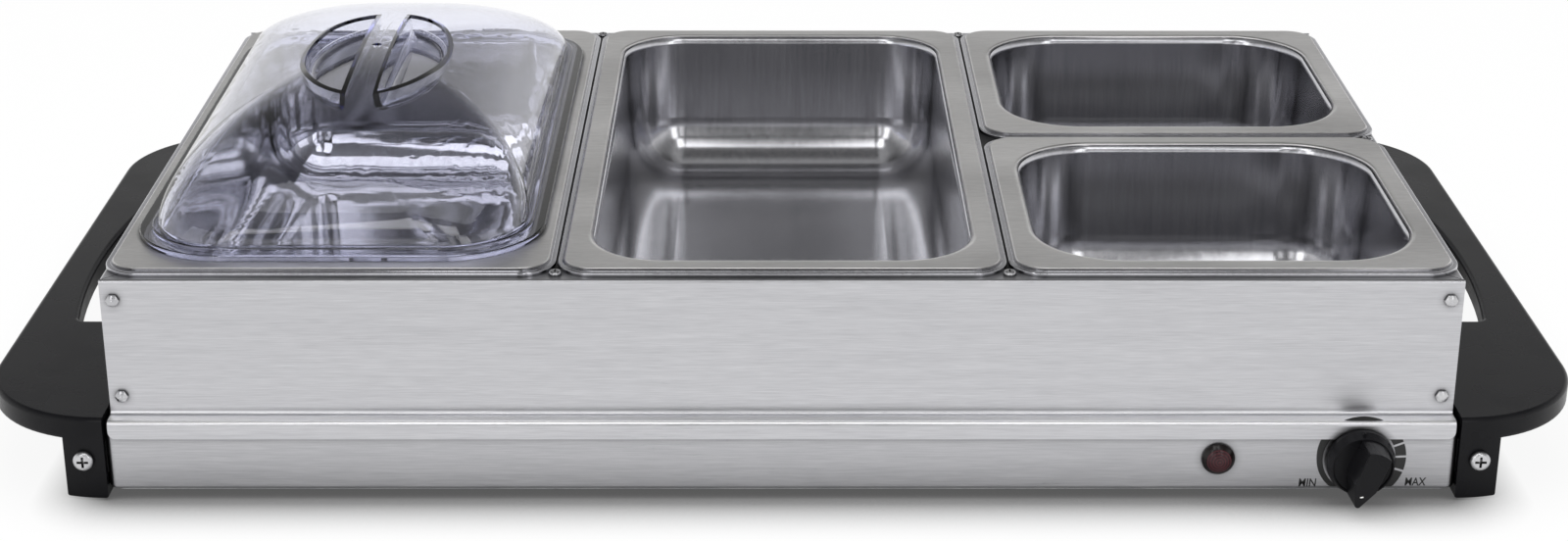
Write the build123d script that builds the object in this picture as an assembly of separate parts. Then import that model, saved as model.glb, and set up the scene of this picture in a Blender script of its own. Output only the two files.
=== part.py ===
from build123d import *
import os
from math import sqrt

# Electric buffet server: a warming base with end handles, a bolted pan frame that lifts
# off the base, four lift-out food pans and one clear lift-off lid.
# Millimetres. +Z is up from the table, +X is the right-hand end, -Y is the control side.

# ---- Stack of heights above the table ----
table_gap = 3.8                # table to the underside of the bottom cover
base_height = 30.0             # underside of the bottom cover to the rim of the base
pan_floor_gap = 5.0            # underside of the pans to the warming surface
pan_rim_height = 2.8           # lip of a pan to the flat of its rim

# ---- Pans, to the gastronorm pattern ----
pan_width = 176.0              # along X, all four pans
long_pan_length = 325.0        # one-third pan, along Y
pan_depth = 65.0               # flat of the rim to the underside of the bottom
pan_gap = 0.7                  # between neighbouring long pans
short_pan_gap = 1.0            # between the two short pans, which share one long pan's place
pan_sheet = 0.8
pan_rim_corner = 14.0          # corner of the rim seen from above
pan_lip_ledge = 1.75           # low outer ledge of the rim
pan_lip_drop = 1.2             # flat of the rim down to that ledge
pan_flat_edge = 9.75           # outer edge of the rim to the start of the mouth bend
pan_mouth_bend = 3.75
pan_draft = 2.5                # degrees
long_pan_corner = 27.5         # upright corners of the one-third pan
short_pan_corner = 33.0
pan_bottom_bend = 24.0

# ---- Pan frame ----
frame_sheet = 0.8
frame_flange = 12.0            # top flange, folded inwards
frame_end_inset = 0.4          # outer pan lip stands this far outside the frame's end
frame_front_margin = 3.3       # frame's face to the lip of the long pans
frame_bend = 1.2               # outside radius of the folds
ledge_depth = 8.0              # outward ledge at the foot of the long panels
ledge_bend = 2.0
skirt_drop = 7.4               # ledge top to the lower edge of the skirt
skirt_gap = 1.0                # skirt to the base behind it
skirt_corner = 3.0
mitre_gap = 0.3
tab_width = 12.0               # corner tabs of the side panels
tab_end_gap = 3.0
bolt_inset = 5.0               # bolt axis to the frame's end
bolt_drop = 8.2                # frame top to the upper bolts
bolt_rise = 8.6                # rim of the base to the lower bolts
bolt_diameter = 3.0
bolt_head_flats = 4.6
bolt_head_height = 2.0
bolt_shank = 8.0
nut_flats = 5.5
nut_height = 2.4
bolt_clearance = 0.1           # radial, in every fastener's hole
thread_clearance = 0.03        # radial, between a nut and its bolt

# ---- Dividers under the pan rims ----
divider_width = 14.0
divider_leg = 8.0
divider_end_gap = 0.5
divider_tab_end = 3.4          # screw axis to the end of a divider's tab
divider_lap = 3.0              # tab under the channel that it is welded to
divider_screw_setback = 6.3    # frame's face to the screw axis
cross_screw_setback = 4.6      # frame's end to the screw axis of the short divider
divider_screw_head = 5.0
divider_screw_head_height = 1.6

# ---- Base ----
base_end_margin = 2.3          # base's end to the frame's end
base_corner = 4.0
base_edge_bend = 3.0
base_sheet = 1.0
base_hem = 12.0                # bottom flange, folded inwards
base_hem_bend = 1.5
cover_sheet = 0.8
cover_inset = 2.0
cover_screw_head = 7.0
cover_screw_head_height = 1.8
cover_screw_diameter = 3.0
cover_screw_shank = 6.0
cover_screw_end_margin = 21.6  # base's end to the outer screws
cover_screw_block_gap = 24.0   # end of the terminal block to the inner screws, along X
cover_screw_inset = 8.0        # cover screw axis to the base's side
cover_slot_length = 34.0
cover_slot_width = 3.0
cover_slot_pitch = 9.0
cover_slot_count = 6
cover_slot_offset = 150.0      # slot groups left and right of the centre

# ---- Warming well ----
well_sheet = 0.8
well_end_margin = 10.6         # base's end to the well's wall
well_front_margin = 26.0       # base's face to the well's wall, room for the controls
well_depth = 9.8               # rim of the base down to the warming surface
well_corner = 16.0
well_bottom_bend = 4.0
well_flange = 5.0
well_fit = 0.4                 # well's wall to the opening in the base

# ---- Heater under the well ----
spreader_end_margin = 36.0     # well's wall to the spreader
spreader_side_margin = 28.0
spreader_sheet = 1.5
element_diameter = 6.4
element_run_pitch = 60.0
element_run_count = 4
element_end_margin = 66.0      # well's wall to the ends of the straight runs
element_lead = 22.0            # straight lead past the last bend
element_pin_diameter = 3.0
element_pin_length = 10.0
clamp_width = 10.0
clamp_sheet = 1.0
clamp_fit = 0.1
clamp_spacing = 150.0
insulation_end_margin = 21.6   # base's end to the board
insulation_side_margin = 34.0
insulation_height = 7.0
fuse_diameter = 4.5
fuse_length = 13.0
fuse_lead_diameter = 1.0
fuse_lead_length = 7.0
fuse_x = 110.0

# ---- Controls on the front of the base ----
control_height = 18.1          # table to the axis of the knob and lamp
knob_end_margin = 39.1         # base's end to the axis of the knob
lamp_spacing = 55.6            # knob's axis to the lamp's
knob_skirt_diameter = 27.0
knob_skirt_edge = 2.0          # straight edge at the foot of the skirt
knob_face_diameter = 24.4
knob_skirt_height = 8.5        # base's face to the knob's rim
knob_rim = 0.5                 # rim around the dished face
knob_dish = 0.8
knob_height = 21.0             # base's face to the top of the grip
knob_gap = 0.6                 # frame's skirt to the back of the knob
knob_grip_width = 9.0
knob_grip_draft = 3.0          # degrees, sides of the grip
knob_grip_foot = 0.8           # sloped foot where the grip meets the face
knob_grip_edge = 0.4
knob_nose_start = 3.6          # axis to where the pointer starts to narrow
knob_nose_point = 14.0         # axis to where its sides would meet
knob_nose_radius = 1.2
knob_nub_diameter = 1.4        # index nub on the skirt
knob_nub_height = 7.0          # base's face to the top of the nub
knob_cavity_diameter = 22.0
knob_cavity_depth = 3.8
knob_hub_diameter = 10.0
knob_rest_turn = 20.0          # pointer at rest, degrees clockwise past six o'clock
shaft_diameter = 6.0
shaft_flat = 1.5               # depth of the D flat
shaft_reach = 16.0             # base's face to the shaft's end
shaft_depth = 6.0              # shaft's other end inside the thermostat
shaft_fit = 0.05               # running clearance, radial
bushing_diameter = 10.0
bushing_reach = 2.6
bushing_nut_flats = 14.0
bushing_nut_height = 2.0
thermostat_diameter = 23.0
thermostat_length = 15.0
thermostat_plate = 1.2
thermostat_plate_width = 30.0
thermostat_plate_height = 24.0
blade_width = 6.3
blade_sheet = 0.8
blade_length = 5.0
lamp_lens_diameter = 13.0
lamp_lens_height = 4.2
lamp_lens_lip = 1.0
lamp_lens_wall = 1.3
lamp_body_diameter = 10.0
lamp_body_length = 17.0
lamp_bulb_diameter = 4.6
lamp_clip_diameter = 15.0
lamp_clip_sheet = 1.0
lamp_blade_length = 4.0

# ---- Supply inlet at the rear ----
inlet_end_margin = 86.6        # base's end to the axis of the inlet
inlet_flange_diameter = 16.0
inlet_flange_height = 2.0
inlet_neck_diameter = 12.6
inlet_barb_diameter = 14.4
inlet_length = 16.0
inlet_bore_diameter = 7.2
terminal_length = 32.0
terminal_width = 11.0
terminal_height = 13.0
terminal_ways = 3
terminal_port_diameter = 4.0
terminal_screw_diameter = 4.4
terminal_spacing = 50.0        # inlet's axis to the middle of the terminal block

# ---- End handles ----
handle_reach = 54.4            # base's end to the outer edge of the grip
handle_proud = 1.0             # handle's face in front of the base's face
handle_corner = 54.0
handle_top_lift = 1.7          # top of the handle above the rim of the base
handle_thickness = 9.8
handle_edge = 1.8
handle_rail = 8.4              # base's end to the hand opening
hand_opening_length = 146.0
hand_opening_reach = 31.0      # opening's width at its middle
hand_opening_bow = 7.0         # how far its outer edge bows out
hand_opening_corner = 4.0      # outer corners of the opening
hand_opening_inner_corner = 14.0
leg_width = 16.6
leg_length = 40.0
leg_wall = 3.0
leg_cavity_length = 27.0
leg_cavity_floor = 6.0
leg_corner = 1.5
apron_sheet = 3.0
apron_height = 17.0
pad_lift = 0.6                 # leg's sole above the table
pad_height = 2.6
pad_length = 30.0
pad_width = 10.6
pad_corner = 3.0
handle_screw_head = 8.2
handle_screw_head_height = 2.4
handle_screw_diameter = 4.0
handle_screw_shank = 11.0
handle_screw_height = 17.8     # table to the screw's axis
bracket_sheet = 1.5
bracket_length = 22.0
bracket_height = 14.0
bracket_tab = 13.2
bracket_boss_diameter = 8.0
bracket_boss_height = 3.0

# ---- Clear lid on the left-hand pan ----
lid_side_margin = 6.5          # pan's lip to the edge of the lid
lid_end_margin = 9.5
lid_corner = 39.0
lid_wall = 2.0
lid_flange = 2.2
lid_band = 5.0                 # flat band of the flange, outside the step
lid_step = 1.5
lid_dome_inset = 2.0           # step's edge to the foot of the dome
lid_height = 41.5              # underside of the flange to the crown
lid_dome_corner = 33.0
lid_crown_roundness = 0.94     # corner of the topmost outline as a share of its half width
lid_rib_depth = 3.0            # locating rib inside the pan's mouth
lid_rib_gap = 0.9              # rib to the pan's wall
pocket_half_width = 31.0       # finger pockets: half an ellipse each side of the grip bar
pocket_half_length = 58.0
pocket_depth = 12.0
pocket_draft = 6.0
pocket_bend = 3.5
grip_bar_width = 14.0
vent_diameter = 4.0

# ---- Worked out from the sizes above ----
base_top = table_gap + base_height
frame_height = pan_depth + pan_floor_gap - well_depth - pan_rim_height
frame_top = base_top + frame_height
bolt_spacing = frame_height - bolt_drop - bolt_rise
pan_flat = frame_top + pan_rim_height
pan_pitch = pan_width + pan_gap
short_pan_length = (long_pan_length - short_pan_gap) / 2
frame_half_length = 1.5 * pan_width + pan_gap - frame_end_inset
frame_half_width = long_pan_length / 2 + frame_front_margin
base_half_length = frame_half_length + base_end_margin
base_half_width = frame_half_width + ledge_depth - frame_sheet - skirt_gap
housing_bottom = table_gap + cover_sheet
well_half_length = base_half_length - well_end_margin
well_half_width = base_half_width - well_front_margin
well_floor = base_top - well_depth
spreader_half_length = well_half_length - spreader_end_margin
spreader_half_width = well_half_width - spreader_side_margin
spreader_top = well_floor - well_sheet
spreader_bottom = spreader_top - spreader_sheet
element_axis = spreader_bottom - element_diameter / 2
handle_half_width = base_half_width + handle_proud
handle_top = base_top + handle_top_lift
handle_bottom = handle_top - handle_thickness
handle_screw_x = base_half_length + leg_width / 2
knob_x = base_half_length - knob_end_margin
lamp_x = knob_x - lamp_spacing
inlet_x = base_half_length - inlet_end_margin
terminal_x = inlet_x - terminal_spacing
cover_screw_middle = terminal_x - terminal_length / 2 - cover_screw_block_gap
divider_x = pan_pitch / 2
lid_width = pan_width - 2 * lid_side_margin
lid_length = long_pan_length - 2 * lid_end_margin
knob_back = skirt_gap + frame_sheet + knob_gap
tiny = 0.01                    # face matching when edges are picked


def block(x_low, x_high, y_low, y_high, z_low, z_high):
    centre = ((x_low + x_high) / 2, (y_low + y_high) / 2, (z_low + z_high) / 2)
    return Pos(*centre) * Box(x_high - x_low, y_high - y_low, z_high - z_low)


def plate(half_x, half_y, corner, low, high):
    outline = RectangleRounded(2 * half_x, 2 * half_y, corner)
    return Pos(0, 0, low) * extrude(outline, high - low)


def rod(diameter, low, high):
    return Pos(0, 0, low) * extrude(Circle(diameter / 2), high - low)


def hexagon(flats, low, high):
    return Pos(0, 0, low) * extrude(RegularPolygon(flats / 2, 6, major_radius=False), high - low)


def edges_at(solid, height):
    return solid.edges().filter_by_position(Axis.Z, height - tiny, height + tiny)


def on_front(x, height):
    """Plane on the base's face: x to the right, y up, z out of the face."""
    return Plane(origin=(x, -base_half_width, height), x_dir=(1, 0, 0), z_dir=(0, -1, 0))


def on_rear(x, height):
    return Plane(origin=(x, base_half_width, height), x_dir=(-1, 0, 0), z_dir=(0, 1, 0))


def four_corners(piece):
    """The piece and its mirror images in the YZ and XZ planes."""
    pair = [piece, mirror(piece, Plane.YZ)]
    return pair + [mirror(each, Plane.XZ) for each in pair]


def screw(head, head_height, diameter, shank, round_off):
    """Pan-head screw with a cross recess: seat at z = 0, head above it."""
    cap = fillet(edges_at(rod(head, 0, head_height), head_height), round_off)
    recess_depth = 0.6 * head_height
    for turn in (0, 90):
        slot = block(-head * 0.28, head * 0.28, -head * 0.06, head * 0.06,
                     head_height - recess_depth, head_height)
        cap -= Rot(0, 0, turn) * slot
    return cap + rod(diameter, -shank, 0)


def nut(flats, height, diameter):
    """Hexagon nut with its seat at z = 0, below it."""
    return hexagon(flats, -height, 0) - rod(diameter + 2 * thread_clearance, -height, 0)


# ---- Base housing and cover ----

def make_base_housing():
    shell = plate(base_half_length, base_half_width, base_corner, housing_bottom, base_top)
    shell = fillet(edges_at(shell, base_top), base_edge_bend)
    shell = fillet(edges_at(shell, housing_bottom), base_hem_bend)
    hollow = plate(base_half_length - base_sheet, base_half_width - base_sheet,
                   base_corner - base_sheet, housing_bottom + base_sheet, base_top - base_sheet)
    hollow = fillet(edges_at(hollow, base_top - base_sheet), base_edge_bend - base_sheet)
    shell -= hollow
    mouth_x = well_half_length + well_sheet + well_fit
    mouth_y = well_half_width + well_sheet + well_fit
    shell -= plate(mouth_x, mouth_y, well_corner, base_top - 2 * base_sheet, base_top)
    shell -= plate(base_half_length - base_hem, base_half_width - base_hem, base_corner,
                   housing_bottom, housing_bottom + base_sheet)
    wall = 2 * base_sheet
    holes = [
        on_front(knob_x, control_height) * rod(bushing_diameter + 2 * bolt_clearance, -wall, 0),
        on_front(lamp_x, control_height) * rod(lamp_body_diameter + 2 * bolt_clearance, -wall, 0),
        on_rear(inlet_x, control_height) * rod(inlet_neck_diameter + 2 * bolt_clearance, -wall, 0),
    ]
    holes += [Pos(x, y, housing_bottom + base_sheet)
              * rod(cover_screw_diameter + 2 * bolt_clearance, -base_sheet, 0)
              for x, y in cover_screw_places()]
    return shell - holes


def cover_screw_places():
    y = base_half_width - cover_screw_inset
    outer = base_half_length - cover_screw_end_margin
    columns = (-outer, -cover_screw_middle, cover_screw_middle, outer)
    return [(x, side * y) for x in columns for side in (-1, 1)]


def make_bottom_cover():
    cover = plate(base_half_length - cover_inset, base_half_width - cover_inset, base_corner,
                  table_gap, housing_bottom)
    slot = extrude(SlotOverall(cover_slot_length, cover_slot_width), cover_sheet)
    first = -cover_slot_pitch * (cover_slot_count - 1) / 2
    for x in (-cover_slot_offset, cover_slot_offset):
        for i in range(cover_slot_count):
            cover -= Pos(x, first + i * cover_slot_pitch, table_gap) * slot
    for x, y in cover_screw_places():
        cover -= Pos(x, y, housing_bottom) * rod(cover_screw_diameter + 2 * bolt_clearance,
                                                 -cover_sheet, 0)
    return cover


def make_cover_screws():
    one = screw(cover_screw_head, cover_screw_head_height, cover_screw_diameter,
                cover_screw_shank, 0.5 * cover_screw_head_height)
    return [Pos(x, y, table_gap) * Rot(180, 0, 0) * one for x, y in cover_screw_places()]


# ---- Warming well and heater ----

def make_warming_plate():
    def form(grow):
        cup = plate(well_half_length + grow, well_half_width + grow, well_corner,
                    well_floor - grow, base_top + well_sheet)
        return fillet(edges_at(cup, well_floor - grow), well_bottom_bend + grow)

    rim = plate(well_half_length + well_flange, well_half_width + well_flange, well_corner,
                base_top, base_top + well_sheet)
    return rim + form(well_sheet) - form(0)


def make_heat_spreader():
    return plate(spreader_half_length, spreader_half_width, well_corner,
                 spreader_bottom, spreader_top)


def element_rows():
    first = -element_run_pitch * (element_run_count - 1) / 2
    return [first + i * element_run_pitch for i in range(element_run_count)]


def make_heating_element():
    """Sheathed tube bent to and fro under the spreader, with both cold pins at the right."""
    rows = element_rows()
    bend = element_run_pitch / 2
    far = well_half_length - element_end_margin
    path = Line((far + element_lead, rows[0]), (-far, rows[0]))
    for i, row in enumerate(rows[:-1]):
        side = -1 if i % 2 == 0 else 1
        path += ThreePointArc((side * far, row), (side * (far + bend), row + bend),
                              (side * far, rows[i + 1]))
        last = i == len(rows) - 2
        path += Line((side * far, rows[i + 1]),
                     (far + element_lead if last else -side * far, rows[i + 1]))
    start = Plane(origin=(far + element_lead, rows[0], 0), z_dir=(-1, 0, 0))
    tube = sweep(start * Circle(element_diameter / 2), path=path)
    pins = []
    for row in (rows[0], rows[-1]):
        tip = Plane(origin=(far + element_lead, row, 0), z_dir=(1, 0, 0))
        pins.append(tip * rod(element_pin_diameter, 0, element_pin_length))
    return Pos(0, 0, element_axis) * (tube + pins)


def make_element_clamps():
    """Straps across the spreader with a saddle over each run of the element."""
    saddle = element_diameter / 2 + clamp_fit
    strap_half = spreader_half_width - clamp_width
    outline = Pos(0, spreader_bottom - clamp_sheet / 2) * Rectangle(2 * strap_half, clamp_sheet)
    for row in element_rows():
        outline += Pos(row, element_axis) * Circle(saddle + clamp_sheet)
    for row in element_rows():
        outline -= Pos(row, element_axis) * Circle(saddle)
    above = Pos(0, spreader_bottom + element_diameter) * Rectangle(2 * strap_half,
                                                                   2 * element_diameter)
    outline -= above
    strap = extrude(Plane.YZ * outline, clamp_width / 2, both=True)
    return [Pos(x, 0, 0) * strap for x in (-clamp_spacing, 0, clamp_spacing)]


def make_insulation_board():
    return plate(base_half_length - insulation_end_margin,
                 base_half_width - insulation_side_margin, well_corner,
                 housing_bottom, housing_bottom + insulation_height)


def make_thermal_fuse():
    axis = spreader_bottom - fuse_diameter / 2
    body = rod(fuse_diameter, -fuse_length / 2, fuse_length / 2)
    leads = rod(fuse_lead_diameter, -fuse_length / 2 - fuse_lead_length,
                fuse_length / 2 + fuse_lead_length)
    return Pos(fuse_x, element_run_pitch, axis) * Rot(0, 90, 0) * (body + leads)


# ---- Controls ----

def make_thermostat():
    plate_half = thermostat_plate_width / 2
    mount = block(-plate_half, plate_half, -thermostat_plate_height / 2,
                  thermostat_plate_height / 2, -base_sheet - thermostat_plate, -base_sheet)
    body_front = -base_sheet - thermostat_plate
    body_back = body_front - thermostat_length
    body = mount + rod(thermostat_diameter, body_back, body_front)
    body += rod(bushing_diameter, body_front, bushing_reach)
    body -= rod(shaft_diameter + 2 * shaft_fit, -shaft_depth - base_sheet, bushing_reach)
    for x in (-blade_width, blade_width):
        body += block(x - blade_width / 2, x + blade_width / 2, -blade_sheet / 2,
                      blade_sheet / 2, body_back - blade_length, body_back)
    return on_front(knob_x, control_height) * body


def make_thermostat_nut():
    ring = nut(bushing_nut_flats, bushing_nut_height, bushing_diameter)
    return on_front(knob_x, control_height) * Pos(0, 0, bushing_nut_height) * ring


def shaft_section(grow):
    round_bar = Circle(shaft_diameter / 2 + grow)
    flat = shaft_diameter / 2 - shaft_flat + grow
    return round_bar - Pos(0, flat + shaft_diameter / 2) * Rectangle(2 * shaft_diameter,
                                                                     shaft_diameter)


def make_thermostat_shaft():
    shaft = rod(shaft_diameter, -shaft_depth, knob_back)
    shaft += extrude(shaft_section(0), shaft_reach)
    return on_front(knob_x, control_height) * Rot(0, 0, -knob_rest_turn) * shaft


def knob_footprint(grow):
    """Outline of the grip: parallel sides, then a pointer with a rounded tip."""
    half = knob_grip_width / 2 + grow
    point = knob_nose_point + grow * knob_nose_point / knob_grip_width
    tail = knob_skirt_diameter
    outline = make_face(Polyline((half, tail), (half, -knob_nose_start), (0, -point),
                                 (-half, -knob_nose_start), (-half, tail), close=True))
    tip = outline.vertices().sort_by(Axis.Y)[0]
    return fillet(tip, knob_nose_radius)


def make_control_knob():
    """Round skirt with a dished face, and a straight-sided grip that ends in a pointer."""
    skirt_radius = knob_skirt_diameter / 2
    face_radius = knob_face_diameter / 2
    face = knob_skirt_height - knob_dish
    dish_radius = face_radius - knob_rim - knob_dish / 2
    profile = make_face(Polyline(
        (0, knob_back), (skirt_radius, knob_back), (skirt_radius, knob_back + knob_skirt_edge),
        (face_radius, knob_skirt_height), (face_radius - knob_rim, knob_skirt_height),
        (dish_radius, face), (0, face), close=True))
    knob = revolve(Plane.XZ * profile, Axis.Z)

    low = knob_back + knob_cavity_depth
    grip = extrude(Pos(0, 0, knob_height) * knob_footprint(0), low - knob_height,
                   taper=-knob_grip_draft)
    foot = extrude(Pos(0, 0, face) * knob_footprint(2 * knob_grip_foot), knob_grip_foot,
                   taper=45)
    tail_end = Circle(face_radius - knob_rim)
    nose_end = Pos(0, -skirt_radius) * Rectangle(knob_skirt_diameter, knob_skirt_diameter)
    grip &= extrude(tail_end + nose_end, knob_height)
    grip = fillet(edges_at(grip, knob_height), knob_grip_edge)
    knob += grip + (foot & rod(2 * dish_radius, 0, knob_height))
    nub = Pos(0, skirt_radius - 0.2 * knob_nub_diameter) * rod(
        knob_nub_diameter, knob_back + knob_skirt_edge, knob_nub_height)
    knob += Rot(0, 0, knob_rest_turn) * nub

    cavity = rod(knob_cavity_diameter, knob_back, low)
    knob -= cavity - rod(knob_hub_diameter, knob_back + knob_gap, low)
    bore = extrude(shaft_section(shaft_fit), shaft_reach + shaft_fit)
    knob -= bore
    return on_front(knob_x, control_height) * Rot(0, 0, -knob_rest_turn) * knob


def make_indicator_lamp():
    body = rod(lamp_body_diameter, -lamp_body_length, 0)
    body += rod(lamp_bulb_diameter, 0, lamp_lens_height - 2 * lamp_lens_wall)
    for x in (-0.3 * lamp_body_diameter, 0.3 * lamp_body_diameter):
        body += block(x - blade_sheet, x + blade_sheet, -blade_width / 4, blade_width / 4,
                      -lamp_body_length - lamp_blade_length, -lamp_body_length)
    return on_front(lamp_x, control_height) * body


def dome(radius, height, lip):
    """Turned solid: a cylindrical lip with a spherical cap on it, seated at z = 0."""
    outline = Polyline((0, height), (0, 0), (radius, 0), (radius, lip))
    ball = (radius ** 2 + (height - lip) ** 2) / (2 * (height - lip))
    half_way = radius / 2
    outline += ThreePointArc((radius, lip),
                             (half_way, height - ball + sqrt(ball ** 2 - half_way ** 2)),
                             (0, height))
    return revolve(Plane.XZ * make_face(outline), Axis.Z)


def make_lamp_lens():
    inner_radius = lamp_body_diameter / 2 - lamp_lens_wall
    lens = dome(lamp_lens_diameter / 2, lamp_lens_height, lamp_lens_lip)
    lens -= dome(inner_radius, lamp_lens_height - lamp_lens_wall, lamp_lens_lip)
    return on_front(lamp_x, control_height) * lens


def make_lamp_clip():
    ring = rod(lamp_clip_diameter, -base_sheet - lamp_clip_sheet, -base_sheet)
    ring -= rod(lamp_body_diameter + 2 * thread_clearance, -base_sheet - lamp_clip_sheet, 0)
    return on_front(lamp_x, control_height) * ring


def make_cord_bushing():
    bushing = rod(inlet_flange_diameter, 0, inlet_flange_height)
    bushing = fillet(edges_at(bushing, inlet_flange_height), inlet_flange_height / 2)
    bushing += rod(inlet_neck_diameter, -base_sheet, 0)
    bushing += rod(inlet_barb_diameter, inlet_flange_height - inlet_length, -base_sheet)
    bushing -= rod(inlet_bore_diameter, inlet_flange_height - inlet_length, inlet_flange_height)
    return on_rear(inlet_x, control_height) * bushing


def make_terminal_block():
    """Ceramic strip with a wire port and a clamping screw well for each pole."""
    floor = housing_bottom + base_sheet
    y = base_half_width - base_sheet - terminal_width / 2
    strip = block(-terminal_length / 2, terminal_length / 2, -terminal_width / 2,
                  terminal_width / 2, floor, floor + terminal_height)
    pitch = terminal_length / terminal_ways
    for i in range(terminal_ways):
        x = (i - (terminal_ways - 1) / 2) * pitch
        port = Pos(x, 0, floor + terminal_height / 2) * Rot(90, 0, 0)
        strip -= port * rod(terminal_port_diameter, -terminal_width, terminal_width)
        strip -= Pos(x, 0, floor + terminal_height) * rod(terminal_screw_diameter,
                                                          -terminal_height / 3, 0)
    return Pos(terminal_x, y, 0) * strip


# ---- Handles ----

def handle_outline():
    outer = base_half_length + handle_reach
    whole = RectangleRounded(2 * outer, 2 * handle_half_width, handle_corner)
    end = Pos(outer, 0) * Rectangle(2 * handle_reach, 2 * handle_half_width)
    return whole & end


def hand_opening():
    inner = base_half_length + handle_rail
    middle = inner + hand_opening_reach
    side = middle - hand_opening_bow
    half = hand_opening_length / 2
    edge = Polyline((side, -half), (inner, -half), (inner, half), (side, half))
    edge += ThreePointArc((side, half), (middle, 0), (side, -half))
    window = make_face(edge)
    outer = window.vertices().group_by(Axis.X)[-1]
    window = fillet(outer, hand_opening_corner)
    inner_side = window.vertices().group_by(Axis.X)[0]
    return fillet(inner_side, hand_opening_inner_corner)


def make_handle():
    """Right-hand handle: a flat grip plate with a hand opening, an apron and two hollow legs."""
    grip = Pos(0, 0, handle_bottom) * extrude(handle_outline() - hand_opening(),
                                              handle_thickness)
    touching = base_half_length + tiny
    rims = [edge for edge in grip.edges()
            if edge.bounding_box().size.Z < tiny and edge.bounding_box().max.X > touching]
    grip = fillet(rims, handle_edge)

    sole = pad_lift
    footprint = handle_outline() & (
        Pos(base_half_length + leg_width / 2, -handle_half_width + leg_length / 2)
        * Rectangle(leg_width, leg_length))
    leg = Pos(0, 0, sole) * extrude(footprint, handle_bottom + handle_edge - sole)
    leg = fillet(edges_at(leg, sole), leg_corner)
    cavity_front = -handle_half_width + leg_wall
    leg -= block(base_half_length, base_half_length + leg_width - leg_wall, cavity_front,
                 cavity_front + leg_cavity_length, leg_cavity_floor, handle_bottom + handle_edge)
    leg -= Pos(handle_screw_x, -handle_half_width, handle_screw_height) * Rot(90, 0, 0) * rod(
        handle_screw_diameter + 4 * bolt_clearance, -leg_wall, 0)
    leg -= foot_pad()
    apron = block(base_half_length, base_half_length + apron_sheet,
                  -handle_half_width + leg_length, handle_half_width - leg_length,
                  handle_bottom - apron_height, handle_bottom)
    return grip + leg + mirror(leg, Plane.XZ) + apron


def foot_pad():
    """Rubber pad set into the sole of the front right leg."""
    outline = RectangleRounded(pad_width, pad_length, pad_corner)
    return Pos(base_half_length + leg_width / 2, -handle_half_width + leg_length / 2, 0) \
        * extrude(outline, pad_height)


def handle_bracket():
    """Steel angle on the base's end, inside the front right leg, with a tapped boss."""
    front = -handle_half_width + leg_wall
    low = handle_screw_height - bracket_height / 2
    high = handle_screw_height + bracket_height / 2
    angle = block(base_half_length, base_half_length + bracket_sheet, front,
                  front + bracket_length, low, high)
    angle += block(base_half_length, base_half_length + bracket_tab, front,
                   front + bracket_sheet, low, high)
    seat = Pos(handle_screw_x, front, handle_screw_height) * Rot(90, 0, 0)
    angle += seat * rod(bracket_boss_diameter, -bracket_sheet - bracket_boss_height,
                        -bracket_sheet)
    angle -= seat * rod(handle_screw_diameter + 2 * thread_clearance,
                        -bracket_sheet - bracket_boss_height, 0)
    return angle


def handle_screw():
    one = screw(handle_screw_head, handle_screw_head_height, handle_screw_diameter,
                handle_screw_shank, 0.65 * handle_screw_head_height)
    return Pos(handle_screw_x, -handle_half_width, handle_screw_height) * Rot(90, 0, 0) * one


# ---- Pan frame ----

def bolt_places():
    """(x, height) of the bolts at the right-hand end of a long panel."""
    x = frame_half_length - bolt_inset
    upper = frame_top - bolt_drop
    return [(x, upper), (x, upper - bolt_spacing)]


def mitre_cut(outline, depth):
    """Prism over the frame's front right corner; the outline is measured inwards from it."""
    points = [(frame_half_length - x, y - frame_half_width) for x, y in outline]
    wedge = make_face(Polyline(*points, close=True))
    return Pos(0, 0, frame_top - depth) * extrude(wedge, depth + frame_sheet)


def front_mitre():
    """What the flange of a long panel leaves to the end panel: all past the diagonal."""
    reach = 2 * frame_flange
    shift = mitre_gap / sqrt(2)
    fold = frame_bend
    return mitre_cut([(-reach, fold), (fold + shift, fold), (reach + shift, reach),
                      (-reach, reach)], frame_bend)


def end_mitre():
    """What the end panel leaves to the long one, its fold included."""
    reach = 2 * frame_flange
    shift = mitre_gap / sqrt(2)
    fold = frame_bend + mitre_gap
    return mitre_cut([(-reach, -reach), (-reach, fold), (fold - shift, fold),
                      (reach - shift, reach), (2 * reach, reach), (2 * reach, -reach)],
                     tab_end_gap)


def make_front_panel():
    """Long panel of the frame: top flange, face, then a ledge and skirt over the base's rim."""
    half_sheet = frame_sheet / 2
    face = -frame_half_width + half_sheet
    ledge_level = base_top + half_sheet
    skirt = face - ledge_depth
    top = frame_top - half_sheet
    fold = frame_bend - half_sheet
    wide_fold = ledge_bend - half_sheet
    bottom = base_top + frame_sheet - skirt_drop
    line = FilletPolyline(
        (-frame_half_width + frame_flange, top), (face, top), (face, ledge_level),
        (skirt, ledge_level), (skirt, bottom), radius=[fold, wide_fold, wide_fold])
    section = trace(line, frame_sheet)
    panel = extrude(Plane.YZ * section, frame_half_length, both=True)
    corners = panel.edges().filter_by(Axis.Y).filter_by_position(
        Axis.Z, bottom - tiny, bottom + tiny)
    panel = fillet(corners, skirt_corner)
    cut = front_mitre()
    panel -= [cut, mirror(cut, Plane.YZ)]
    for x, height in bolt_places():
        hole = rod(bolt_diameter + 2 * bolt_clearance, -2 * frame_sheet, frame_sheet)
        for side in (-1, 1):
            panel -= Pos(side * x, -frame_half_width, height) * Rot(90, 0, 0) * hole
    for side in (-1, 1):
        x = side * divider_x
        panel -= Pos(x, -frame_half_width + divider_screw_setback, frame_top) * rod(
            bolt_diameter + 2 * bolt_clearance, -frame_sheet, 0)
    return panel


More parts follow.
